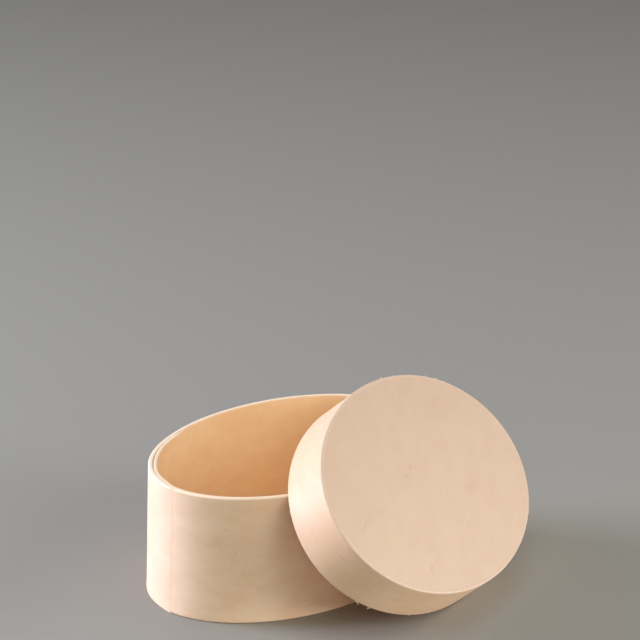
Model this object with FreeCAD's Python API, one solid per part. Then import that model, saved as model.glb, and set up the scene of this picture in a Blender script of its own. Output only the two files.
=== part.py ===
"""Small oval box of bent wood chip, open, with its lid taken off and leaning against its side.

Millimetres, +Z up. The origin is the middle of the underside of the box and X runs along its length. The
lid stands on the same surface as the box, on the -Y side, with its hollow turned to the box.

Both bands are strips of veneer bent round an oval until their ends lap. Round an oval, angles are degrees
from +X, and a depth is how far a point lies inside the oval's edge.
"""
import FreeCAD, Part
import math
import os

from FreeCAD import Placement, Rotation, Vector

# Box, outside
BOX_LENGTH = 150.0
BOX_WIDTH = 100.0
BOX_HEIGHT = 60.0
BOX_VENEER = 2.4
BOTTOM_THICKNESS = 2.5

# Lid, which fits over the box
LID_CLEARANCE = 0.4
LID_HEIGHT = 22.4
LID_VENEER = 1.4
TOP_THICKNESS = 2.5

# Glue lines: between the layers of a lap, and round a board
LAP_GLUE = 0.1
BOARD_GLUE = 0.15

# Ends of the strips: the thickness left at an end, the sweep over which the box's ends are planed thin,
# and the width of the small groove that an end leaves beside it
FEATHER = 0.15
SKIVE = 12.0
SEAM = 2.0

# Lap of the box, round the -X end. Its two layers are thinner than the strip. They lie on each other at
# both ends and along the bottom board, and in the middle they have sprung apart towards the rim
BOX_LAP_START = 104.0
BOX_LAP_END = 182.0
OUTER_LAYER = 2.1
INNER_LAYER = 1.5
SPRUNG_START = BOX_LAP_START + SKIVE
SPRUNG_END = BOX_LAP_END - SKIVE - SEAM
SPRUNG_GAP = 0.55
BOARD_LEAD = 4.0

# Lap of the lid, on its upper side. It is a long scarf, no thicker than the veneer
LID_LAP_START = 8.0
LID_LAP_END = 46.0

# How the lid leans: its turn, its roll and its tilt in degrees, the place of its middle along X, and the
# gap that is left between it and the box
LEAN_TURN = 13.5
LEAN_ROLL = 1.7
LEAN_TILT = 47.3
LEAN_ALONG = 27.2
LEAN_GAP = 0.15

CURVE_STEP = 2.0
SEARCH_STEPS = 16

BOX_OVAL = (BOX_LENGTH, BOX_WIDTH)
LID_GROWTH = 2 * (LID_CLEARANCE + LID_VENEER)
LID_OVAL = (BOX_LENGTH + LID_GROWTH, BOX_WIDTH + LID_GROWTH)


def rise(value, low, high):
    """0 up to low, 1 from high, and a smooth rise between them."""
    share = min(1.0, max(0.0, (value - low) / (high - low)))
    return share * share * (3 - 2 * share)


def oval_point(oval, angle, depth):
    turn = math.radians(angle)
    return Vector((oval[0] / 2 - depth) * math.cos(turn), (oval[1] / 2 - depth) * math.sin(turn), 0)


def oval_arc(oval, depth, start, end):
    ellipse = Part.Ellipse(Vector(0, 0, 0), oval[0] / 2 - depth, oval[1] / 2 - depth)
    return ellipse.toShape(math.radians(start), math.radians(end))


def oval_curve(oval, depth_at, start, end):
    """Smooth edge along an oval, whose depth is a function of the angle."""
    steps = max(4, math.ceil((end - start) / CURVE_STEP))
    angles = [start + (end - start) * i / steps for i in range(steps + 1)]
    curve = Part.BSplineCurve()
    curve.interpolate([oval_point(oval, angle, depth_at(angle)) for angle in angles])
    return curve.toShape()


def radial_line(oval, angle, depth, deeper):
    return Part.LineSegment(oval_point(oval, angle, depth), oval_point(oval, angle, deeper)).toShape()


def slab(outer, thickness, inner=None):
    """Flat solid that stands on z = 0, inside the outer edges and outside the inner ones."""
    face = Part.Face(Part.Wire(outer))
    if inner:
        face = face.cut(Part.Face(Part.Wire(inner)))
    return face.extrude(Vector(0, 0, thickness)).Solids[0]


class Lap:
    """Where the two ends of a strip lie on each other, from angle start to angle end.

    At an angle, under is the depth of the outer layer's inside, gap is the way from there to the inner
    layer, and inside is the depth of the inner layer's inside. opened is 0 where the layers lie on each
    other and 1 where they have sprung apart, over the stretch called sprung, if there is one.
    """

    def __init__(self, oval, veneer, start, end, under, gap, inside, sprung=()):
        self.oval = oval
        self.veneer = veneer
        self.start = start
        self.end = end
        self.under = under
        self.gap = gap
        self.inside = inside
        stops = [start, *sprung, end]
        self.stretches = list(zip(stops, stops[1:]))

    def over(self, angle, opened=0):
        """Depth of the inner layer's outside, which past the outer layer's end comes out to the edge."""
        lapped = min(angle, self.end)
        beyond = 1 - rise(angle, self.end, self.end + SEAM)
        return (self.under(lapped) + self.gap(lapped, opened)) * beyond

    def under_edges(self):
        return [oval_curve(self.oval, self.under, *stretch) for stretch in self.stretches]

    def over_edges(self, opened=0):
        def depth(angle):
            return self.over(angle, opened)

        return [oval_curve(self.oval, depth, *stretch) for stretch in self.stretches]

    def inner_edges(self, opened=0):
        """The strip's inside all round, but for the small step at its inner end."""
        def depth(angle):
            return self.inside(angle, opened)

        def notch(angle):
            depth = self.under(self.start)
            return self.veneer + (depth - self.veneer) * rise(angle, self.start - SEAM, self.start)

        return [
            oval_curve(self.oval, depth, self.start, self.end + SEAM),
            oval_arc(self.oval, self.veneer, self.end + SEAM, self.start - SEAM + 360),
            oval_curve(self.oval, notch, self.start - SEAM, self.start),
        ]

    def outline(self, height, opened=0):
        """The strip's edge at a height, as one closed wire that overlaps itself in the lap."""
        wire = Part.Wire([
            *self.over_edges(opened),
            oval_curve(self.oval, self.over, self.end, self.end + SEAM),
            oval_arc(self.oval, 0, self.end + SEAM, self.end + 360),
            radial_line(self.oval, self.end, 0, self.under(self.end)),
            *reversed(self.under_edges()),
            *reversed(self.inner_edges(opened)),
            radial_line(self.oval, self.start, self.over(self.start), self.inside(self.start)),
        ])
        wire.translate(Vector(0, 0, height))
        return wire

    def strip(self, height, glued_height=0):
        """The whole band, whose lap opens from the glued height up if it is sprung."""
        sections = [self.outline(0), self.outline(height)]
        if glued_height:
            sections = [self.outline(0), self.outline(glued_height), self.outline(height, 1)]
        return Part.makeLoft(sections, True, True)

    def glue(self, height, glued_height=0):
        """The glue between the layers, as high as the band but no higher than it is glued where it opens."""
        films = []
        for stretch, under, over in zip(self.stretches, self.under_edges(), self.over_edges()):
            ends = [radial_line(self.oval, angle, self.under(angle), self.over(angle)) for angle in stretch]
            opens = len(films) % 2
            films.append(slab([under, ends[1], over, ends[0]], glued_height if opens else height))
        return films[0].multiFuse(films[1:]).Solids[0] if films[1:] else films[0]

    def board_glue(self, board_edges, thickness):
        """The glue line between the strip's inside and the edge of the board set into it."""
        step = radial_line(self.oval, self.start, self.under(self.start), self.inside(self.start))
        return slab([*self.inner_edges(), step], thickness, board_edges)


# ---- lap of the box ----

def box_under(angle):
    lapped = rise(angle, BOX_LAP_START, BOX_LAP_START + SKIVE)
    ended = rise(angle, BOX_LAP_END - SKIVE, BOX_LAP_END)
    return BOX_VENEER + (OUTER_LAYER - BOX_VENEER) * lapped + (FEATHER - OUTER_LAYER) * ended


def box_gap(angle, opened):
    share = (angle - SPRUNG_START) / (SPRUNG_END - SPRUNG_START)
    sprung = math.sin(math.pi * min(1.0, max(0.0, share))) ** 2
    return LAP_GLUE + SPRUNG_GAP * sprung * opened


def box_inside(angle, opened=0):
    lapped = rise(angle, BOX_LAP_START, BOX_LAP_START + SKIVE)
    ended = rise(angle, BOX_LAP_END - SKIVE, BOX_LAP_END)
    thickness = FEATHER + (INNER_LAYER - FEATHER) * lapped + (BOX_VENEER - INNER_LAYER) * ended
    return box_lap.over(angle, opened) + thickness


box_lap = Lap(BOX_OVAL, BOX_VENEER, BOX_LAP_START, BOX_LAP_END, box_under, box_gap, box_inside,
              (SPRUNG_START, SPRUNG_END))


# ---- lap of the lid ----

def lid_under(angle):
    share = (angle - LID_LAP_START) / (LID_LAP_END - LID_LAP_START)
    thick = LID_VENEER - FEATHER - LAP_GLUE
    return thick + (FEATHER - thick) * share


def lid_gap(angle, opened):
    return LAP_GLUE


def lid_inside(angle, opened=0):
    return LID_VENEER


lid_lap = Lap(LID_OVAL, LID_VENEER, LID_LAP_START, LID_LAP_END, lid_under, lid_gap, lid_inside)


# ---- boards ----

def bottom_board_edges():
    """The bottom's edge keeps one glue line from the band, and goes round the inner end of its strip."""
    start = BOX_LAP_START - BOARD_LEAD
    end = BOX_LAP_END + SEAM

    def depth(angle):
        lap_growth = box_inside(max(angle, BOX_LAP_START)) - BOX_VENEER
        return BOX_VENEER + lap_growth * rise(angle, start, BOX_LAP_START) + BOARD_GLUE

    return [oval_curve(BOX_OVAL, depth, start, end), oval_arc(BOX_OVAL, depth(end), end, start + 360)]


def lid_board_edges():
    return [oval_arc(LID_OVAL, LID_VENEER + BOARD_GLUE, 0, 360)]


# ---- pieces ----

def box_pieces():
    board = bottom_board_edges()
    return {
        "box_band": box_lap.strip(BOX_HEIGHT, BOTTOM_THICKNESS),
        "bottom_board": slab(board, BOTTOM_THICKNESS),
        "box_lap_glue": box_lap.glue(BOX_HEIGHT, BOTTOM_THICKNESS),
        "box_board_glue": box_lap.board_glue(board, BOTTOM_THICKNESS),
    }


def lid_pieces():
    """The lid's pieces as it lies on its face: outer face of the board on z = 0, open side up."""
    board = lid_board_edges()
    return {
        "lid_band": lid_lap.strip(LID_HEIGHT),
        "lid_board": slab(board, TOP_THICKNESS),
        "lid_lap_glue": lid_lap.glue(LID_HEIGHT),
        "lid_board_glue": lid_lap.board_glue(board, TOP_THICKNESS),
    }


def lean(lid, box):
    """Placement that stands the lid on its lower edge and rests it on the box's rim."""
    upright = Placement(Vector(0, 0, 0), Rotation(Vector(1, 0, 0), 180))
    turned = Placement(Vector(0, 0, 0), Rotation(LEAN_TURN, LEAN_ROLL, LEAN_TILT)) * upright
    shell = Part.Compound([lid["lid_band"], lid["lid_board"]])
    shell.Placement = turned
    height = -shell.optimalBoundingBox(False).ZMin
    near = -BOX_WIDTH / 2
    far = near - LID_HEIGHT - LID_OVAL[1] / 2
    for _ in range(SEARCH_STEPS):
        middle = (near + far) / 2
        shell.Placement = Placement(Vector(LEAN_ALONG, middle, height), Rotation()) * turned
        if shell.distToShape(box["box_band"])[0] < LEAN_GAP:
            near = middle
        else:
            far = middle
    return Placement(Vector(LEAN_ALONG, far, height), Rotation()) * turned


def main():
    os.makedirs("parts", exist_ok=True)
    box = box_pieces()
    lid = lid_pieces()
    leaning = lean(lid, box)
    for piece in lid.values():
        piece.Placement = leaning
    for name, piece in {**box, **lid}.items():
        piece.exportStep(f"parts/{name}.step")
        print(name, len(piece.Solids), "solid", round(piece.Volume, 1), "mm3", piece.isValid())
    print("lid stands at", leaning.Base, leaning.Rotation.toEuler())


main()
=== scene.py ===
"""Looks of a small oval chip-wood box, open, with its lid taken off and leaning against its side."""
import math

import bmesh
import bpy
from mathutils import Matrix, Vector, noise


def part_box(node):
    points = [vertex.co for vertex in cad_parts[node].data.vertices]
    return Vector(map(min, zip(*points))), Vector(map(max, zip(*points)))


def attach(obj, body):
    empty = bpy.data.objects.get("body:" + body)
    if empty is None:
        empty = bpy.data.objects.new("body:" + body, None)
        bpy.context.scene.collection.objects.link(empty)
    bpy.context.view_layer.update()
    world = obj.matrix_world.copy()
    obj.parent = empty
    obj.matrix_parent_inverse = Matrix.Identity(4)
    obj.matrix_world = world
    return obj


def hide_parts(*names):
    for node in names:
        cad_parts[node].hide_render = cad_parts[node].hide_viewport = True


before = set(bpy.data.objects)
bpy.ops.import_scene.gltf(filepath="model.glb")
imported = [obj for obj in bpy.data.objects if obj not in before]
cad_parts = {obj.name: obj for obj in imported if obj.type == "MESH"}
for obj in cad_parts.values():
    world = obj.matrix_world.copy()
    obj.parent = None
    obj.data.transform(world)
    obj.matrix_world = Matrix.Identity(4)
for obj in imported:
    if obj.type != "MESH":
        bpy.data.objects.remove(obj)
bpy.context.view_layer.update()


# ==== Band of the box ====
# One strip of pale veneer, soaked and bent round an oval with its grain running along it. Its ends are
# planed thin and glued on each other over the left tip, where the inner layer has sprung a little away
# from the outer one towards the rim. The rim is sanded round on the outside.

BOX_VENEER = 0.0024
BOX_OUTER_LAYER = 0.0021
BOX_INNER_LAYER = 0.0015
BOX_LAP = (104.0, 182.0)  # degrees round the oval, from the strip's inner end to its outer one
BOX_SKIVE = 12.0  # degrees over which each end was planed thin
BOX_SPRUNG = (116.0, 168.0)  # degrees between which the two layers stand apart
BOX_SPRUNG_GAP = 0.00050
BOX_GLUED_HEIGHT = 0.0025  # below it the two layers hold together
BOX_ROWS = 24
BOX_SEED = 1
FEATHER = 0.00003  # what is left of a planed end at its tip
LAP_GLUE = 0.00003
SEAM = 1.0  # degrees over which a strip runs out at its end
SPRING_CURVE = 20  # the higher, the nearer to the rim the layers part
STRIP_STEP = 0.0007
RIM_ROUND = 0.0009
FOOT_ROUND = 0.0008
EDGE_ROUND = 0.00022
CORNER = math.radians(60)  # an edge that turns by more is a corner of the strip
CRISP = math.radians(50)  # an edge that turns by more is shaded crisp
WORN_HEIGHT = 0.004  # how far from a sawn edge its wear reaches
WAVE_LENGTH, WAVE_DEPTH = 0.022, 0.00010  # of the slow wave in a sawn edge
CHIP_LENGTH, CHIP_DEPTH = 0.0022, 0.00070  # of the small chips in it
CHIP_LIMIT = 0.42  # the higher, the fewer chips
LUMP_LENGTH, LUMP_HEIGHT, LUMP_DEPTH = 0.03, 0.05, 0.00009  # of the faint lumps in the sides
COVERED_SQUEEZE = 0.8  # how much of its rounding a layer loses under another one


def size_of(node):
    low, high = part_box(node)
    return high - low


def rise(value, low, high):
    """0 up to low, 1 from high, and a smooth rise between them."""
    share = min(1.0, max(0.0, (value - low) / (high - low)))
    return share * share * (3 - 2 * share)


def oval_point(oval, angle, depth):
    """Point on the oval at an angle in degrees from +X, and a depth inside its edge."""
    turn = math.radians(angle)
    return Vector(((oval[0] / 2 - depth) * math.cos(turn), (oval[1] / 2 - depth) * math.sin(turn), 0))


class RunRound:
    """Turns a length along a strip into the angle that it reaches round its oval."""

    STEP = 0.5

    def __init__(self, oval, start, end):
        count = round((end - start) / self.STEP)
        self.angles = [start + self.STEP * i for i in range(count + 1)]
        self.lengths = [0.0]
        points = [oval_point(oval, angle, 0) for angle in self.angles]
        for here, there in zip(points, points[1:]):
            self.lengths.append(self.lengths[-1] + (there - here).length)
        self.total = self.lengths[-1]

    def angle(self, length):
        low, high = 0, len(self.lengths) - 1
        while high - low > 1:
            middle = (low + high) // 2
            if self.lengths[middle] <= length:
                low = middle
            else:
                high = middle
        share = (length - self.lengths[low]) / (self.lengths[high] - self.lengths[low])
        return self.angles[low] + self.STEP * share

    def length(self, angle):
        steps = ((angle - self.angles[0]) % 360) / self.STEP
        here = int(steps)
        return self.lengths[here] + (steps - here) * (self.lengths[here + 1] - self.lengths[here])


def strip_depths(lap, angle, opened):
    """Depths of a lapped strip's outside and inside, at an angle that is counted on from its inner end."""
    start, end = lap["ends"]
    if angle <= end + SEAM:
        reached = min(angle, end)
        outside = lap["under"](reached) + lap["gap"](reached, opened)
        outside *= 1 - rise(angle, end, end + SEAM)
    else:
        outside = 0.0
    if angle >= start + 360:
        inside = lap["under"](angle - 360)
    elif angle >= start + 360 - SEAM:
        inside = lap["inside"](angle, opened, 0)
        inside += (lap["under"](start) - inside) * rise(angle - 360, start - SEAM, start)
    else:
        inside = lap["inside"](angle, opened, outside)
    return outside, inside


def round_edges(bm, edges, radius, segments):
    bmesh.ops.bevel(bm, geom=edges, offset=radius, affect="EDGES", segments=segments, profile=0.5,
                    material=-1)


def flat_strip(length, thickness, height, rows, rim):
    """Straight strip, length along X, thickness along Y from its outside, standing on z = 0.

    Its outer edge at the height called rim is rounded well, the other outer edge less, and the inner
    edges are only eased. A board lies flush in a strip whose rim is at 0, so its inner edge stays sharp
    there.
    """
    bm = bmesh.new()
    bmesh.ops.create_grid(bm, x_segments=round(length / STRIP_STEP), y_segments=rows, size=0.5)
    for v in bm.verts:
        share = v.co.y + 0.5
        crowded = (share + 0.5 - 0.5 * math.cos(math.pi * share)) / 2
        v.co = (length * (v.co.x + 0.5), 0, height * crowded)
    bm.normal_update()
    bmesh.ops.solidify(bm, geom=list(bm.faces), thickness=thickness)
    bmesh.ops.translate(bm, verts=list(bm.verts), vec=(0, -min(v.co.y for v in bm.verts), 0))

    def turned(edge):
        return edge.calc_face_angle(0) > CORNER

    def runs_at(edge, across, up):
        return all(abs(v.co.y - across) < EDGE_ROUND and abs(v.co.z - up) < EDGE_ROUND
                   for v in edge.verts)

    round_edges(bm, [e for e in bm.edges if turned(e) and runs_at(e, 0, rim)], RIM_ROUND, 6)
    round_edges(bm, [e for e in bm.edges if turned(e) and runs_at(e, 0, height - rim)], FOOT_ROUND, 4)
    flush = rim == 0
    eased = [e for e in bm.edges if turned(e) and not (flush and runs_at(e, thickness, 0))]
    round_edges(bm, eased, EDGE_ROUND, 3)
    bmesh.ops.recalc_face_normals(bm, faces=list(bm.faces))
    return bm


def keep_flat(bm):
    """Remembers where each point lay before the piece was bent or put in place, for the grain to follow."""
    layer = bm.verts.layers.float_vector.new("flat")
    for v in bm.verts:
        v[layer] = v.co


def cut_edge_wear(length, seed):
    """How far a sawn edge is worn away at a length along it: a slow wave, with small chips in it."""
    wave = 0.5 + 0.5 * noise.noise(Vector((length / WAVE_LENGTH, seed, 0)))
    chip = max(0.0, noise.noise(Vector((length / CHIP_LENGTH, seed + 7, 0))) - CHIP_LIMIT)
    return WAVE_DEPTH * wave + CHIP_DEPTH * chip


def rounded_away(depth):
    """How much of the rim's rounding is cut away at a depth inside the band's outside."""
    reach = max(0.0, RIM_ROUND - max(0.0, depth))
    return RIM_ROUND - math.sqrt(RIM_ROUND ** 2 - reach ** 2)


def bend_strip(bm, oval, lap, run, seed):
    """Bends a flat strip round its oval, with its upper edge worn and its sides faintly uneven."""
    height, thickness, glued = lap["height"], lap["thickness"], lap["glued_height"]
    for v in bm.verts:
        length, across, up = v.co
        angle = run.angle(length)
        opened = max(0.0, (up - glued) / (height - glued)) ** SPRING_CURVE
        outside, inside = strip_depths(lap, angle, opened)
        below = abs(lap["rim"] - up)
        if below <= RIM_ROUND:
            covered = rise(outside, 0, RIM_ROUND)
            if across <= RIM_ROUND:
                across *= 1 - COVERED_SQUEEZE * covered
                below *= 1 - COVERED_SQUEEZE * covered
            below = max(below, rounded_away(outside + (inside - outside) * across / thickness))
            up = abs(lap["rim"] - below)
        depth = outside + (inside - outside) * across / thickness
        place = oval_point(oval, angle, 0) / LUMP_LENGTH + Vector((0, 0, up / LUMP_HEIGHT + seed))
        depth += LUMP_DEPTH * (1 + noise.noise(place)) * lap["wobble"](up)
        up -= cut_edge_wear(length, seed) * rise(up, height - WORN_HEIGHT, height)
        v.co = oval_point(oval, angle, depth) + Vector((0, 0, up))


def finish_piece(bm, name, place=None):
    """Puts a finished bmesh in place and makes it an object with smooth sides and crisp edges."""
    if place:
        bmesh.ops.transform(bm, matrix=place, verts=list(bm.verts))
    mesh = bpy.data.meshes.new(name)
    bm.to_mesh(mesh)
    bm.free()
    mesh.shade_smooth()
    mesh.set_sharp_from_angle(angle=CRISP)
    piece = bpy.data.objects.new(name, mesh)
    bpy.context.scene.collection.objects.link(piece)
    return piece


def box_under(angle):
    """Thickness of the outer layer in the lap."""
    lapped = rise(angle, BOX_LAP[0], BOX_LAP[0] + BOX_SKIVE)
    ended = rise(angle, BOX_LAP[1] - BOX_SKIVE, BOX_LAP[1])
    return BOX_VENEER + (BOX_OUTER_LAYER - BOX_VENEER) * lapped + (FEATHER - BOX_OUTER_LAYER) * ended


def box_gap(angle, opened):
    """Gap between the two layers: the glue line, and what they have sprung apart."""
    share = (angle - BOX_SPRUNG[0]) / (BOX_SPRUNG[1] - BOX_SPRUNG[0])
    sprung = math.sin(math.pi * min(1.0, max(0.0, share))) ** 2
    return LAP_GLUE + BOX_SPRUNG_GAP * sprung * opened


def box_inside(angle, opened, outside):
    """Depth of the inside, in the lap and past it."""
    lapped = rise(angle, BOX_LAP[0], BOX_LAP[0] + BOX_SKIVE)
    ended = rise(angle, BOX_LAP[1] - BOX_SKIVE, BOX_LAP[1])
    thickness = FEATHER + (BOX_INNER_LAYER - FEATHER) * lapped + (BOX_VENEER - BOX_INNER_LAYER) * ended
    return outside + thickness


def box_wobble(up):
    """The sides are even at the bottom, where the board holds them."""
    return rise(up, 0, 0.004)


box_size = size_of("box_band")
box_oval = (box_size.x, box_size.y)
box_lap = {"ends": BOX_LAP, "under": box_under, "gap": box_gap, "inside": box_inside,
           "height": box_size.z, "thickness": BOX_VENEER, "glued_height": BOX_GLUED_HEIGHT,
           "rim": box_size.z, "wobble": box_wobble}
box_run = RunRound(box_oval, BOX_LAP[0], BOX_LAP[1] + 360)
box_strip = flat_strip(box_run.total, BOX_VENEER, box_size.z, BOX_ROWS, box_size.z)
keep_flat(box_strip)
bend_strip(box_strip, box_oval, box_lap, box_run, BOX_SEED)
box_band = finish_piece(box_strip, "box_band_veneer")


def add(tree, kind, inputs=(), **settings):
    """Adds a shader node, with its settings, and sets or links its inputs."""
    node = tree.nodes.new("ShaderNode" + kind)
    for key, value in settings.items():
        setattr(node, key, value)
    for key, value in dict(inputs).items():
        if isinstance(value, bpy.types.NodeSocket):
            tree.links.new(value, node.inputs[key])
        else:
            node.inputs[key].default_value = value
    return node


def figure(tree, operation, *values, clamp=False):
    """One sum in a node tree. The values are sockets or numbers."""
    return add(tree, "Math", enumerate(values), operation=operation, use_clamp=clamp).outputs[0]


def fade(tree, value, low, high, to_low=0.0, to_high=1.0):
    """Smooth step of a value from one range to another."""
    inputs = {"Value": value, "From Min": low, "From Max": high, "To Min": to_low, "To Max": to_high}
    return add(tree, "MapRange", inputs, interpolation_type="SMOOTHSTEP").outputs[0]


def tint(tree, share, under, over, mode="MIX"):
    """Colour over another, by a share."""
    inputs = {0: share, 6: under, 7: over}
    return add(tree, "Mix", inputs, data_type="RGBA", blend_type=mode).outputs[2]


def drawn_out(tree, place, along, across, detail=2.0, roughness=0.5, distortion=0.0):
    """Noise drawn out along the grain. along and across are how many of its lumps fill a metre."""
    stretched = add(tree, "VectorMath", {0: place, 1: (along, across, across)}, operation="MULTIPLY")
    inputs = {"Vector": stretched.outputs[0], "Scale": 1.0, "Detail": detail, "Roughness": roughness,
              "Distortion": distortion}
    return add(tree, "TexNoise", inputs).outputs["Fac"]


def open_group(name, inputs, outputs):
    """New shader node group with named sockets: (name, socket kind, value) and (name, socket kind)."""
    tree = bpy.data.node_groups.new(name, "ShaderNodeTree")
    for label, kind, value in inputs:
        socket = tree.interface.new_socket(label, in_out="INPUT", socket_type="NodeSocket" + kind)
        if value is not None:
            socket.default_value = value
    for label, kind in outputs:
        tree.interface.new_socket(label, in_out="OUTPUT", socket_type="NodeSocket" + kind)
    return tree, tree.nodes.new("NodeGroupInput").outputs, tree.nodes.new("NodeGroupOutput").inputs


CLOUDS, RINGS, FIBRES = 0.74, 0.10, 0.16  # what each of them gives to the tone of the wood


def make_grain_group():
    """Grain of pale close-grained wood, which runs along X of the flat piece."""
    tree, given, put = open_group(
        "pale_wood_grain",
        [("Flat", "Vector", None), ("Pale", "Color", None), ("Deep", "Color", None),
         ("Streak", "Color", (0.36, 0.22, 0.12, 1)), ("Streaks", "Float", 0.0), ("Flecks", "Float", 1.0)],
        [("Color", "Color"), ("Roughness", "Float"), ("Height", "Float")])
    flat = given["Flat"]
    clouds = drawn_out(tree, flat, 60, 95, 5.0, 0.62, 0.5)
    rings = drawn_out(tree, flat, 7, 420, 3.0, 0.6, 0.2)
    fibres = drawn_out(tree, flat, 60, 3200, 2.0, 0.6)
    tone = figure(tree, "ADD", figure(tree, "MULTIPLY", clouds, CLOUDS),
                  figure(tree, "MULTIPLY", rings, RINGS))
    tone = figure(tree, "ADD", tone, figure(tree, "MULTIPLY", fibres, FIBRES))
    wood = tint(tree, fade(tree, tone, 0.34, 0.66), given["Pale"], given["Deep"])

    dashes = drawn_out(tree, flat, 330, 2100, 1.0)
    dashes = fade(tree, dashes, 0.69, 0.80, 0.0, 0.22)
    wood = tint(tree, figure(tree, "MULTIPLY", dashes, given["Flecks"]), wood, given["Streak"])

    stain = drawn_out(tree, flat, 26, 160, 4.0, 0.6, 0.6)
    where = drawn_out(tree, flat, 8, 22, 1.0)
    stain = figure(tree, "MULTIPLY", fade(tree, stain, 0.50, 0.72), fade(tree, where, 0.50, 0.64))
    stain = figure(tree, "MULTIPLY", stain, given["Streaks"], clamp=True)
    tree.links.new(tint(tree, stain, wood, given["Streak"]), put["Color"])
    tree.links.new(fade(tree, fibres, 0.3, 0.7, 0.46, 0.58), put["Roughness"])
    dents = drawn_out(tree, flat, 140, 330, 3.0, 0.6, 0.4)
    relief = figure(tree, "ADD", figure(tree, "MULTIPLY", fibres, 0.25),
                    figure(tree, "MULTIPLY", dents, 0.75))
    tree.links.new(relief, put["Height"])
    return tree


grain_group = make_grain_group()


def wood_material(name, pale, deep, streaks, flecks, turn=0.0, finish=None):
    """Bare wood.

    streaks and flecks are how strong these are, and turn is how far the grain runs off the piece's length,
    in degrees. finish takes the node tree, the flat coordinates, the colour and the roughness, and gives
    the last two back changed.
    """
    material = bpy.data.materials.new(name)
    material.use_nodes = True
    tree = material.node_tree
    shader = tree.nodes["Principled BSDF"]
    flat = add(tree, "Attribute", attribute_name="flat").outputs["Vector"]
    turned = add(tree, "Mapping", {"Vector": flat, "Rotation": (0, 0, math.radians(turn))})
    grain = tree.nodes.new("ShaderNodeGroup")
    grain.node_tree = grain_group
    tree.links.new(turned.outputs[0], grain.inputs["Flat"])
    grain.inputs["Pale"].default_value = (*pale, 1)
    grain.inputs["Deep"].default_value = (*deep, 1)
    grain.inputs["Streaks"].default_value = streaks
    grain.inputs["Flecks"].default_value = flecks
    bump = add(tree, "Bump", {"Strength": 0.25, "Distance": 0.00012, "Height": grain.outputs["Height"]})
    colour, roughness = grain.outputs["Color"], grain.outputs["Roughness"]
    if finish:
        colour, roughness = finish(tree, flat, colour, roughness)
    tree.links.new(colour, shader.inputs["Base Color"])
    tree.links.new(roughness, shader.inputs["Roughness"])
    tree.links.new(bump.outputs[0], shader.inputs["Normal"])
    shader.inputs["Specular IOR Level"].default_value = 0.3
    return material


def make_mark_group():
    """Mask of one mark in the wood: an uneven spot, or a line if it is much longer than wide."""
    tree, given, put = open_group(
        "mark_in_wood",
        [("Flat", "Vector", None), ("Middle", "Vector", None), ("Turn", "Float", 0.0),
         ("Spread", "Vector", None)],
        [("Mask", "Float")])
    bent = add(tree, "TexNoise", {"Vector": given["Flat"], "Scale": 260.0, "Detail": 2.0}).outputs["Color"]
    bent = add(tree, "VectorMath", {0: bent, 1: (0.5, 0.5, 0.5)}, operation="SUBTRACT").outputs[0]
    bent = add(tree, "VectorMath", {0: bent, "Scale": 0.0016}, operation="SCALE").outputs[0]
    place = add(tree, "VectorMath", {0: given["Flat"], 1: bent}, operation="ADD").outputs[0]
    place = add(tree, "VectorMath", {0: place, 1: given["Middle"]}, operation="SUBTRACT").outputs[0]
    place = add(tree, "VectorRotate", {"Vector": place, "Angle": given["Turn"]}, rotation_type="Z_AXIS")
    place = add(tree, "VectorMath", {0: place.outputs[0], 1: given["Spread"]}, operation="MULTIPLY")
    away = add(tree, "VectorMath", {0: place.outputs[0]}, operation="LENGTH").outputs["Value"]
    tree.links.new(fade(tree, away, 0.0, 1.0, 1.0, 0.0), put["Mask"])
    return tree


mark_group = make_mark_group()
BAND_MARK_FADE = 700  # a mark on a band has faded out a 700th of a metre below the outside


def mark_wood(tree, flat, colour, marks, through):
    """Adds marks: (place along and across, length, width, turn in degrees, strength, colour) each.

    Marks go through a board, and on a band they stay on the outside.
    """
    for along, across, length, width, turn, strength, stain in marks:
        mark = tree.nodes.new("ShaderNodeGroup")
        mark.node_tree = mark_group
        tree.links.new(flat, mark.inputs["Flat"])
        mark.inputs["Middle"].default_value = (along, across, 0)
        mark.inputs["Turn"].default_value = math.radians(-turn)
        mark.inputs["Spread"].default_value = (2 / length, 2 / width, 0 if through else BAND_MARK_FADE)
        share = figure(tree, "MULTIPLY", mark.outputs["Mask"], strength)
        colour = tint(tree, share, colour, (*stain, 1))
    return colour


BROWN = (0.36, 0.20, 0.11)
YELLOW = (0.62, 0.50, 0.20)
PALE = (0.97, 0.86, 0.70)

# Angle round the box, height, length, width, turn, strength and colour of each mark
BOX_MARKS = (
    (214.8, 0.0534, 0.0042, 0.0012, 8, 0.38, PALE),
    (213.0, 0.0500, 0.0130, 0.0070, 0, 0.14, YELLOW),
    (210.2, 0.0451, 0.0017, 0.0015, 0, 0.38, BROWN),
    (214.3, 0.0343, 0.0015, 0.0040, 5, 0.20, BROWN),
    (205.0, 0.0378, 0.0100, 0.0060, 10, 0.10, BROWN),
    (193.4, 0.0199, 0.0060, 0.0014, 6, 0.35, PALE),
    (222.8, 0.0235, 0.0160, 0.0080, 4, 0.10, YELLOW),
    (238.0, 0.0400, 0.0150, 0.0030, 2, 0.12, BROWN),
    (262.0, 0.0180, 0.0120, 0.0020, 0, 0.18, BROWN),
    (290.0, 0.0440, 0.0180, 0.0030, -2, 0.12, BROWN),
    (325.0, 0.0280, 0.0140, 0.0020, 3, 0.15, BROWN),
    (10.0, 0.0150, 0.0030, 0.0020, 0, 0.35, BROWN),
    (48.0, 0.0350, 0.0200, 0.0050, 2, 0.10, YELLOW),
    (75.0, 0.0480, 0.0100, 0.0012, -2, 0.25, BROWN),
)


def marks_on_band(marks, run):
    return [(run.length(angle), *rest) for angle, *rest in marks]


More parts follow.
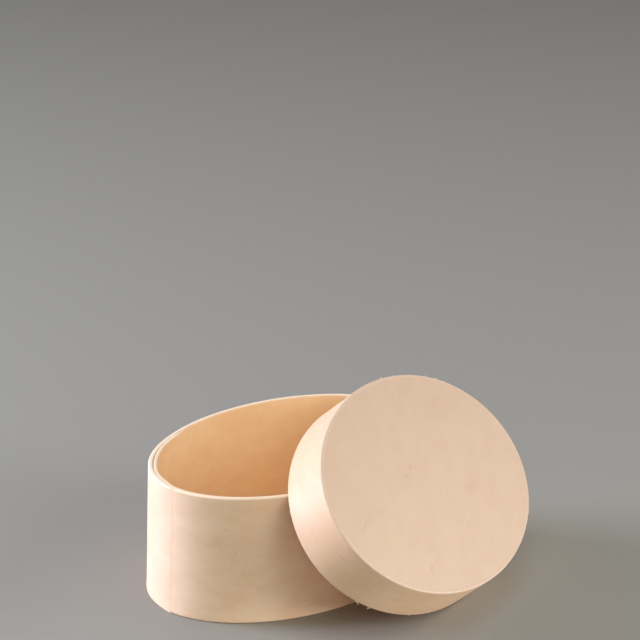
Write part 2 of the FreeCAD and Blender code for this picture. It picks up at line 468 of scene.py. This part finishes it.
BOX_PALE, BOX_DEEP = (0.96, 0.711, 0.517), (0.91, 0.635, 0.441)
# Painted glow: the inside is tinted warmer and brighter, for the light that bounces between the walls
BOX_INSIDE_PAINTED_GLOW = (1.04, 1.055, 0.915, 1)  # the outside's tone times this is the inside's
INSIDE_START, INSIDE_FULL = 0.5, 0.9  # where it comes in, as shares of a band's thickness
SAWN_RIM, SAWN_SHARE, SAWN_ROUGHNESS = (0.96, 0.775, 0.60, 1), 0.9, 0.8
SAWN_START, SAWN_FULL = 0.0008, 0.0003  # how far below the rim


def box_sides(tree, flat, colour, roughness):
    """The inside is tinted warmer and brighter: painted glow of the light that bounces between the walls
    and shines through the thin veneer. The sawn and sanded fibres of the rim are paler and duller."""
    apart = add(tree, "SeparateXYZ", {"Vector": flat}).outputs
    laid = add(tree, "CombineXYZ", {0: apart["X"], 1: apart["Z"], 2: apart["Y"]}).outputs[0]
    colour = mark_wood(tree, laid, colour, marks_on_band(BOX_MARKS, box_run), False)
    inner = fade(tree, apart["Y"], INSIDE_START * BOX_VENEER, INSIDE_FULL * BOX_VENEER)
    # painted glow of bounced light on the inside
    colour = tint(tree, inner, colour, BOX_INSIDE_PAINTED_GLOW, "MULTIPLY")
    sawn = fade(tree, apart["Z"], box_size.z - SAWN_START, box_size.z - SAWN_FULL, 0.0, SAWN_SHARE)
    colour = tint(tree, sawn, colour, SAWN_RIM)
    return colour, figure(tree, "MAXIMUM", roughness, figure(tree, "MULTIPLY", sawn, SAWN_ROUGHNESS))


box_band.data.materials.append(
    wood_material("pale_band_veneer", BOX_PALE, BOX_DEEP, 0.0, 1.0, finish=box_sides))
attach(box_band, "box")
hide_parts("box_band")


# ==== Bottom board ====
# An oval of thin board, cut to fit the bent band and glued in flush with its lower edge. Its edge steps
# round the inner end of the strip.

BOARD_GLUE = 0.00015
BOARD_LEAD = 4.0  # degrees over which its edge moves in before the strip's inner end
BOTTOM_EDGE_ROUND = 0.00015
BOTTOM_PALE, BOTTOM_DEEP = (0.95, 0.75, 0.49), (0.90, 0.66, 0.41)


def oval_board(oval, thickness, depth_at, eased):
    """Flat board with eased edges, lying on z = 0. depth_at gives how far inside the oval its edge lies."""
    bm = bmesh.new()
    bmesh.ops.create_circle(bm, cap_ends=True, radius=1, segments=360)
    for v in bm.verts:
        angle = math.degrees(math.atan2(v.co.y, v.co.x)) % 360
        v.co = oval_point(oval, angle, depth_at(angle))
    sides = bmesh.ops.extrude_face_region(bm, geom=list(bm.faces))
    top = [g for g in sides["geom"] if isinstance(g, bmesh.types.BMVert)]
    bmesh.ops.translate(bm, verts=top, vec=(0, 0, thickness))
    bmesh.ops.recalc_face_normals(bm, faces=list(bm.faces))
    rims = [e for e in bm.edges if abs(e.verts[0].co.z - e.verts[1].co.z) < thickness / 2]
    round_edges(bm, rims, eased, 2)
    return bm


def bottom_depth(angle):
    start, end = BOX_LAP[0] - BOARD_LEAD, BOX_LAP[1] + SEAM
    if not start < angle < end:
        return BOX_VENEER + BOARD_GLUE
    lap_growth = strip_depths(box_lap, max(angle, BOX_LAP[0]), 0)[1] - BOX_VENEER
    return BOX_VENEER + lap_growth * rise(angle, start, BOX_LAP[0]) + BOARD_GLUE


bottom_board = oval_board(box_oval, size_of("bottom_board").z, bottom_depth, BOTTOM_EDGE_ROUND)
keep_flat(bottom_board)
bottom_board = finish_piece(bottom_board, "bottom_board_wood")
bottom_board.data.materials.append(
    wood_material("bottom_board_wood", BOTTOM_PALE, BOTTOM_DEEP, 0.5, 1.0, 6))
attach(bottom_board, "box")
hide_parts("bottom_board")


# ==== Band of the lid ====
# A lower and thinner strip of the same veneer, bent a little wider so that it slides over the box. Its lap
# is a long scarf, no thicker than the veneer, on the far side. It leans on its lower edge. It is made
# upside down, with its board's face on z = 0, and then turned over and leant.

LID_VENEER = 0.0014
LID_CLEARANCE = 0.0004
LID_HEIGHT = 0.0224
LID_LAP = (8.0, 46.0)
LID_ROWS = 12
LID_SEED = 5
LID_BOARD = 0.0025
LEAN_TURN = 13.5
LEAN_ROLL = 1.7
LEAN_TILT = 47.3

lid_low, lid_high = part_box("lid_board")
upright = Matrix.Rotation(math.pi, 4, "X")
lean = (Matrix.Rotation(math.radians(LEAN_TURN), 4, "Z")
        @ Matrix.Rotation(math.radians(LEAN_ROLL), 4, "Y")
        @ Matrix.Rotation(math.radians(LEAN_TILT), 4, "X") @ upright)
board_middle = Matrix.Translation((0, 0, -LID_BOARD / 2))
lid_place = Matrix.Translation((lid_low + lid_high) / 2) @ lean @ board_middle
lid_growth = 2 * (LID_CLEARANCE + LID_VENEER)
lid_oval = (box_oval[0] + lid_growth, box_oval[1] + lid_growth)


def lid_under(angle):
    share = (angle - LID_LAP[0]) / (LID_LAP[1] - LID_LAP[0])
    thick = LID_VENEER - FEATHER - LAP_GLUE
    return thick + (FEATHER - thick) * share


def lid_gap(angle, opened):
    return LAP_GLUE


def lid_inside(angle, opened, outside):
    return LID_VENEER


def lid_wobble(up):
    """The sides are even along the board, which holds them."""
    return rise(up, 0.003, 0.008)


lid_lap = {"ends": LID_LAP, "under": lid_under, "gap": lid_gap, "inside": lid_inside,
           "height": LID_HEIGHT, "thickness": LID_VENEER, "glued_height": 0.0,
           "rim": 0.0, "wobble": lid_wobble}
lid_run = RunRound(lid_oval, LID_LAP[0], LID_LAP[1] + 360)
lid_strip = flat_strip(lid_run.total, LID_VENEER, LID_HEIGHT, LID_ROWS, 0.0)
keep_flat(lid_strip)
bend_strip(lid_strip, lid_oval, lid_lap, lid_run, LID_SEED)
lid_band = finish_piece(lid_strip, "lid_band_veneer", lid_place)

# Angle round the lid, height from its board's face, length, width, turn, strength and colour of each mark
LID_MARKS = (
    (136.3, 0.0110, 0.0150, 0.0042, 3, 0.40, YELLOW),
    (150.0, 0.0125, 0.0130, 0.0030, 0, 0.12, BROWN),
    (170.0, 0.0080, 0.0100, 0.0016, 3, 0.20, BROWN),
    (188.0, 0.0140, 0.0140, 0.0030, -2, 0.10, YELLOW),
    (120.0, 0.0070, 0.0060, 0.0012, 2, 0.22, BROWN),
    (240.0, 0.0110, 0.0160, 0.0030, 2, 0.12, BROWN),
    (300.0, 0.0090, 0.0120, 0.0016, -2, 0.20, BROWN),
    (340.0, 0.0150, 0.0150, 0.0040, 0, 0.10, YELLOW),
)


LID_PALE, LID_DEEP = (0.855, 0.60, 0.408), (0.825, 0.555, 0.362)
# Painted glow of bounced light: the lid's inside is tinted warmer than its outside
LID_INSIDE_PAINTED_GLOW = (1.13, 0.97, 0.73, 1)  # the outside's tone times this is the inside's
ROUNDED_EDGE = (0.74, 0.578, 0.458, 1)
ROUNDED_FULL, ROUNDED_END = 0.0004, 0.0010  # how far from the plane of the board's face
# The face's tone, darkened by painted shade; the band's edge flat beside the face takes it too
FACE_TONE_PAINTED_SHADE = (0.56, 0.412, 0.317)
SANDED_FULL, SANDED_END = 0.00004, 0.0003  # the same


def lid_sides(tree, flat, colour, roughness):
    """The inside is tinted warmer: painted glow of bounced light. At the board the outer edge was sanded
    round and is paler than the face; the edge's flat was sanded together with the board and has its
    tone, painted shade included."""
    apart = add(tree, "SeparateXYZ", {"Vector": flat}).outputs
    laid = add(tree, "CombineXYZ", {0: apart["X"], 1: apart["Z"], 2: apart["Y"]}).outputs[0]
    colour = mark_wood(tree, laid, colour, marks_on_band(LID_MARKS, lid_run), False)
    inner = fade(tree, apart["Y"], INSIDE_START * LID_VENEER, INSIDE_FULL * LID_VENEER)
    # painted glow of bounced light on the inside
    colour = tint(tree, inner, colour, LID_INSIDE_PAINTED_GLOW, "MULTIPLY")
    rounded = fade(tree, apart["Z"], ROUNDED_FULL, ROUNDED_END, 1.0, 0.0)
    colour = tint(tree, rounded, colour, ROUNDED_EDGE)
    # the edge's flat takes the face's tone, painted shade included
    sanded = fade(tree, apart["Z"], SANDED_FULL, SANDED_END, 1.0, 0.0)
    return tint(tree, sanded, colour, (*FACE_TONE_PAINTED_SHADE, 1)), roughness


lid_band.data.materials.append(
    wood_material("pale_lid_veneer", LID_PALE, LID_DEEP, 0.0, 1.0, finish=lid_sides))
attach(lid_band, "lid")
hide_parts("lid_band")


# ==== Board of the lid ====
# The lid's top: an oval of the same thin board, glued in flush with the band's edge. It was cut with its
# grain running aslant, and it has a few small brown marks of the tree in it.

FACE_EDGE_ROUND = 0.00003
# Painted shade: the face's tone is darkened well below the band's, to offset the light falling on it.
FACE_PALE_PAINTED_SHADE, FACE_DEEP_PAINTED_SHADE = (0.555, 0.408, 0.314), (0.536, 0.384, 0.289)
# Painted glow of bounced light: the board's inside is tinted back up and warmer.
FACE_INSIDE_PAINTED_GLOW = (1.74, 1.43, 1.02, 1)  # the face's tone times this is the raw inside's

# Place, length, width, turn in degrees, strength and colour of each mark
BOARD_MARKS = (
    (-0.0582, 0.0014, 0.0240, 0.0016, -25, 0.20, BROWN),
    (0.0074, 0.0258, 0.0100, 0.0014, -9, 0.17, BROWN),
    (-0.0355, 0.0330, 0.0085, 0.0019, -41, 0.30, BROWN),
    (-0.0064, -0.0098, 0.0042, 0.0026, -30, 0.34, BROWN),
    (-0.0127, -0.0067, 0.0032, 0.0020, -30, 0.30, BROWN),
    (0.0250, 0.0118, 0.0230, 0.0090, -6, 0.13, BROWN),
    (-0.0135, -0.0090, 0.0280, 0.0190, -30, 0.08, BROWN),
    (0.0340, -0.0280, 0.0380, 0.0090, -20, 0.07, BROWN),
    (-0.0450, 0.0140, 0.0140, 0.0070, -25, 0.12, YELLOW),
    (-0.0270, 0.0270, 0.0200, 0.0080, -35, 0.07, BROWN),
)


def lid_board_depth(angle):
    return LID_VENEER + BOARD_GLUE


def lid_board_sides(tree, flat, colour, roughness):
    """The face is sanded; its tone carries painted shade. The inside is tinted warm: painted glow of
    bounced light.
    """
    colour = mark_wood(tree, flat, colour, BOARD_MARKS, True)
    height = add(tree, "SeparateXYZ", {"Vector": flat}).outputs["Z"]
    inner = fade(tree, height, 0.7 * LID_BOARD, 0.9 * LID_BOARD)
    # painted glow of bounced light on the board's inside
    return tint(tree, inner, colour, FACE_INSIDE_PAINTED_GLOW, "MULTIPLY"), roughness


lid_board = oval_board(lid_oval, LID_BOARD, lid_board_depth, FACE_EDGE_ROUND)
keep_flat(lid_board)
lid_board = finish_piece(lid_board, "lid_board_wood", lid_place)
lid_board.data.materials.append(
    wood_material("lid_board_wood", FACE_PALE_PAINTED_SHADE, FACE_DEEP_PAINTED_SHADE, 0.06, 1.0, 25, lid_board_sides))
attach(lid_board, "lid")
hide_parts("lid_board")


# ==== Splinters ====
# Fine fibres that the saw and the sandpaper raised along the open edges of both pieces and at the lid's
# face. Each one still hangs on the wood at its root and curls away at its tip.

SPLINTER_WIDTH = 0.00034
SPLINTER_THICKNESS = 0.45  # as a share of the width
SPLINTER_TAPER = 0.93
SPLINTER_CURL = 1.8  # the higher, the later it leaves the wood
SPLINTER_SUNK = 0.00012
ROOT_DEPTH = 0.0004


def raise_splinter(bm, root, along, out, length, lift):
    """Thin tapering fibre that starts under the surface and curls outwards."""
    across = along.cross(out).normalized()
    made = bmesh.ops.create_grid(bm, x_segments=8, y_segments=2, size=0.5)["verts"]
    for v in made:
        share = v.co.x + 0.5
        raised = lift * share ** SPLINTER_CURL - SPLINTER_SUNK
        side = v.co.y * SPLINTER_WIDTH * (1 - SPLINTER_TAPER * share)
        v.co = root + along * length * share + out * raised + across * side
    faces = list(dict.fromkeys(f for v in made for f in v.link_faces))
    for face in faces:
        face.normal_update()
    bmesh.ops.solidify(bm, geom=faces, thickness=SPLINTER_WIDTH * SPLINTER_THICKNESS)


def splinters(name, oval, up, out_up, spots, place=None):
    """Splinters at a height round an oval: (angle, which way, length, lift) each.

    out_up is how far they rise or sink for each unit that they curl out.
    """
    bm = bmesh.new()
    for angle, way, length, lift in spots:
        start = oval_point(oval, angle, ROOT_DEPTH)
        ahead = (oval_point(oval, angle + way, ROOT_DEPTH) - start).normalized()
        out = (oval_point(oval, angle, 0) - oval_point(oval, angle, 0.001)).normalized()
        out = (out + Vector((0, 0, out_up))).normalized()
        raise_splinter(bm, start + Vector((0, 0, up)), ahead, out, length, lift)
    bmesh.ops.recalc_face_normals(bm, faces=list(bm.faces))
    keep_flat(bm)
    piece = finish_piece(bm, name, place)
    piece.data.materials.append(splinter_wood)
    return piece


splinter_wood = wood_material("splinter_wood", (0.93, 0.80, 0.64), (0.90, 0.74, 0.56), 0.0, 0.0)
box_splinters = splinters(
    "box_rim_splinters", box_oval, box_size.z - 0.0004, 0.5,
    ((96, 1, 0.0016, 0.0003), (137, -1, 0.0020, 0.0003), (223, 1, 0.0014, 0.0002),
     (256, -1, 0.0018, 0.0003), (318, 1, 0.0022, 0.0003), (12, -1, 0.0016, 0.0003)))
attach(box_splinters, "box")
lid_splinters = splinters(
    "lid_open_edge_splinters", lid_oval, LID_HEIGHT - 0.0002, 0.1,
    ((149, -1, 0.0020, 0.0013), (140.5, 1, 0.0022, 0.0012), (121, -1, 0.0018, 0.0009),
     (108, 1, 0.0014, 0.0004), (102, -1, 0.0014, 0.0005), (171, 1, 0.0016, 0.0005),
     (205, -1, 0.0016, 0.0004), (300, 1, 0.0018, 0.0004), (342, -1, 0.0016, 0.0004)), lid_place)
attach(lid_splinters, "lid")
face_splinters = splinters(
    "lid_face_edge_splinters", lid_oval, 0.0005, -0.9,
    ((278.5, 1, 0.0028, 0.0009), (281.5, -1, 0.0022, 0.0008), (286, 1, 0.0018, 0.0006),
     (308, -1, 0.0030, 0.0008), (310.5, 1, 0.0026, 0.0009), (315, 1, 0.0022, 0.0007),
     (318, -1, 0.0018, 0.0004), (112, 1, 0.0016, 0.0003), (158, -1, 0.0014, 0.0003)), lid_place)
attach(face_splinters, "lid")


# ==== Glue ====
# Thin lines of dried wood glue, in the laps and round both boards, close to the wood in tone. The line
# round the lid's board was sanded flush together with it, and has its tone, painted shade included.

GLUE_LUMPS = 900.0  # in a metre


def glue_material(name, pale, deep):
    material = bpy.data.materials.new(name)
    material.use_nodes = True
    tree = material.node_tree
    shader = tree.nodes["Principled BSDF"]
    place = add(tree, "TexCoord").outputs["Object"]
    lumps = add(tree, "TexNoise", {"Vector": place, "Scale": GLUE_LUMPS, "Detail": 2.0}).outputs["Fac"]
    colour = tint(tree, lumps, (*pale, 1), (*deep, 1))
    tree.links.new(colour, shader.inputs["Base Color"])
    tree.links.new(fade(tree, lumps, 0.3, 0.7, 0.45, 0.6), shader.inputs["Roughness"])
    return material


dry_glue = glue_material("dry_wood_glue", (0.86, 0.66, 0.48), (0.76, 0.57, 0.40))
# The glue round the lid's board has the face's tone, darkened by painted shade
face_glue_painted_shade = glue_material("face_wood_glue_painted_shade", FACE_TONE_PAINTED_SHADE, (0.525, 0.382, 0.288))
for node, glue in (("box_lap_glue", dry_glue), ("box_board_glue", dry_glue),
                   ("lid_lap_glue", dry_glue), ("lid_board_glue", face_glue_painted_shade)):
    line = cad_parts[node]
    line.data.materials.clear()
    line.data.materials.append(glue)


# ==== Studio ====
# A plain pale floor, a soft key lamp on the left, weaker ones all round, and a camera a little above the
# box. Left and ahead are as the camera sees them.

CAMERA_PLACE = Vector((-0.9050, -0.8751, 0.5841))
CAMERA_TARGET = Vector((0.2448, 0.2164, 0.0))
CAMERA_ROLL = 0.03256
CAMERA_LENS = 168.75
LEFT = Vector((-0.688, 0.725, 0))
AHEAD = Vector((0.725, 0.688, 0))
UP = Vector((0, 0, 1))
MIDDLE = Vector((0, -0.02, 0.04))
FLOOR_TONE = (0.29, 0.283, 0.262, 1)

# How far to the left, ahead and up of the middle, width, power and colour of each lamp
LAMPS = (
    ("key_softbox", (1.31, 0.13, 0.38), 0.6, 32.2, (0.785, 0.827, 1.0)),
    ("front_softbox", (0, -1.9, 0.9), 1.2, 7.0, (1.0, 0.955, 0.74)),
    ("front_right_softbox", (-1.2, -1.2, 0.9), 1.2, 11.0, (1.0, 1.0, 0.86)),
    ("right_softbox", (-1.6, 0, 0.8), 1.2, 9.3, (1, 1, 1)),
    ("low_right_softbox", (-1.75, -0.4, 0.30), 0.6, 22, (1, 1, 1)),
    ("back_softbox", (0, 1.35, 1.35), 1.2, 3.5, (1, 1, 1)),
    ("top_softbox", (0, -0.1, 1.6), 1.6, 9.6, (1.0, 0.95, 0.87)),
)


def studio_floor():
    bm = bmesh.new()
    bmesh.ops.create_grid(bm, x_segments=1, y_segments=1, size=4)
    mesh = bpy.data.meshes.new("studio_floor")
    bm.to_mesh(mesh)
    bm.free()
    floor = bpy.data.objects.new("studio_floor", mesh)
    bpy.context.scene.collection.objects.link(floor)
    material = bpy.data.materials.new("studio_floor_paper")
    material.use_nodes = True
    shader = material.node_tree.nodes["Principled BSDF"]
    shader.inputs["Base Color"].default_value = FLOOR_TONE
    shader.inputs["Roughness"].default_value = 0.7
    mesh.materials.append(material)


def turned_to(place, aim):
    """Place of a lamp or camera that looks at a point."""
    return Matrix.Translation(place) @ (aim - place).to_track_quat("-Z", "Y").to_matrix().to_4x4()


def lamp(name, place, width, power, colour):
    """Square soft lamp at a place, turned to the middle."""
    light = bpy.data.lights.new(name, "AREA")
    light.shape = "SQUARE"
    light.size = width
    light.energy = power
    light.color = colour
    lit = bpy.data.objects.new(name, light)
    lit.matrix_world = turned_to(place, MIDDLE)
    bpy.context.scene.collection.objects.link(lit)


studio_floor()
for name, (left, ahead, up), width, power, colour in LAMPS:
    lamp(name, MIDDLE + LEFT * left + AHEAD * ahead + UP * up, width, power, colour)

world = bpy.data.worlds.new("soft_room")
world.use_nodes = True
world.node_tree.nodes["Background"].inputs["Color"].default_value = (1, 1, 1, 1)
world.node_tree.nodes["Background"].inputs["Strength"].default_value = 0.01
bpy.context.scene.world = world

camera = bpy.data.objects.new("camera", bpy.data.cameras.new("camera"))
camera.data.lens = CAMERA_LENS
camera.data.sensor_width = 36
camera.matrix_world = turned_to(CAMERA_PLACE, CAMERA_TARGET) @ Matrix.Rotation(CAMERA_ROLL, 4, "Z")
bpy.context.scene.collection.objects.link(camera)
bpy.context.scene.camera = camera
bpy.context.scene.view_settings.view_transform = "Standard"
